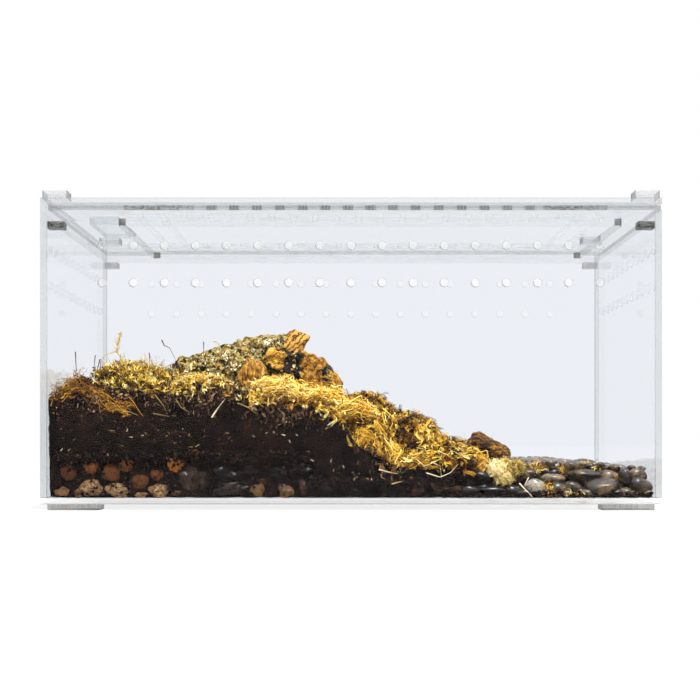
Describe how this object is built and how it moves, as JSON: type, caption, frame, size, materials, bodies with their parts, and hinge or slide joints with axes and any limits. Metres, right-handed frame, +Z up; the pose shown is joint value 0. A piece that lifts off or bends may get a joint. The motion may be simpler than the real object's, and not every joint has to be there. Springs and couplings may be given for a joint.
{
  "type": "reptile terrarium",
  "caption": "Clear acrylic terrarium with vented walls, a vented lid that slides out sideways under rails, and a planted landscape of stones, soil, moss and bark.",
  "frame": {"origin": "middle of the footprint, on the table under the feet", "axes": "+X to the right along the front and the way the lid slides out, +Y from the front to the back, +Z up"},
  "size_m": [0.3, 0.2, 0.155],
  "materials": {
    "acrylic": "clear polished acrylic sheet",
    "acrylic_lid": "clear polished acrylic sheet",
    "acrylic_feet": "clear acrylic with sawn edges",
    "drainage": "packed dark grit",
    "clay": "fired clay balls, matt",
    "broken_clay": "broken clay, matt and pale",
    "dark_stone": "wet dark stone",
    "soil": "damp peaty soil",
    "green_moss": "dried green and olive moss",
    "golden_moss": "long-fibred dried golden moss",
    "lichen_bark": "cork bark with lichen",
    "cut_cork": "cut cork with growth rings",
    "orange_bark": "orange-brown cork bark",
    "cream_moss": "pale dried moss",
    "river_stone": "rounded river pebbles, semi-gloss",
    "dry_stem": "dry plant stems"
  },
  "bodies": {
    "enclosure": {"foot_front_left": "acrylic_feet", "foot_front_right": "acrylic_feet", "foot_back_left": "acrylic_feet", "foot_back_right": "acrylic_feet", "base_plate": "acrylic", "front_panel": "acrylic", "back_panel": "acrylic", "left_panel": "acrylic", "right_panel": "acrylic", "access_frame": "acrylic", "frame_block_front_left": "acrylic", "frame_block_front_right": "acrylic", "frame_block_back_left": "acrylic", "frame_block_back_right": "acrylic", "front_rail": "acrylic", "back_rail": "acrylic", "stacking_block_front_left": "acrylic", "stacking_block_front_right": "acrylic", "stacking_block_back_left": "acrylic", "stacking_block_back_right": "acrylic", "drainage_bed": "drainage", "clay_balls": "clay", "clay_shards": "broken_clay", "drainage_stones": "dark_stone", "soil_bed": "soil", "moss_carpet": "green_moss", "sphagnum_bank": "golden_moss", "cork_log": "lichen_bark", "bark_stub": "cut_cork", "bark_slab": "orange_bark", "bark_nub": "orange_bark", "cream_tuft": "cream_moss", "river_pebbles": "river_stone", "sprigs": "dry_stem"},
    "lid": {"lid_plate": "acrylic_lid", "lid_pull": "acrylic_lid"}
  },
  "joints": [
    {"name": "lid_slide", "type": "slide", "parent": "enclosure", "child": "lid", "axis": [1, 0, 0], "range_m": [0, 0.27]}
  ]
}
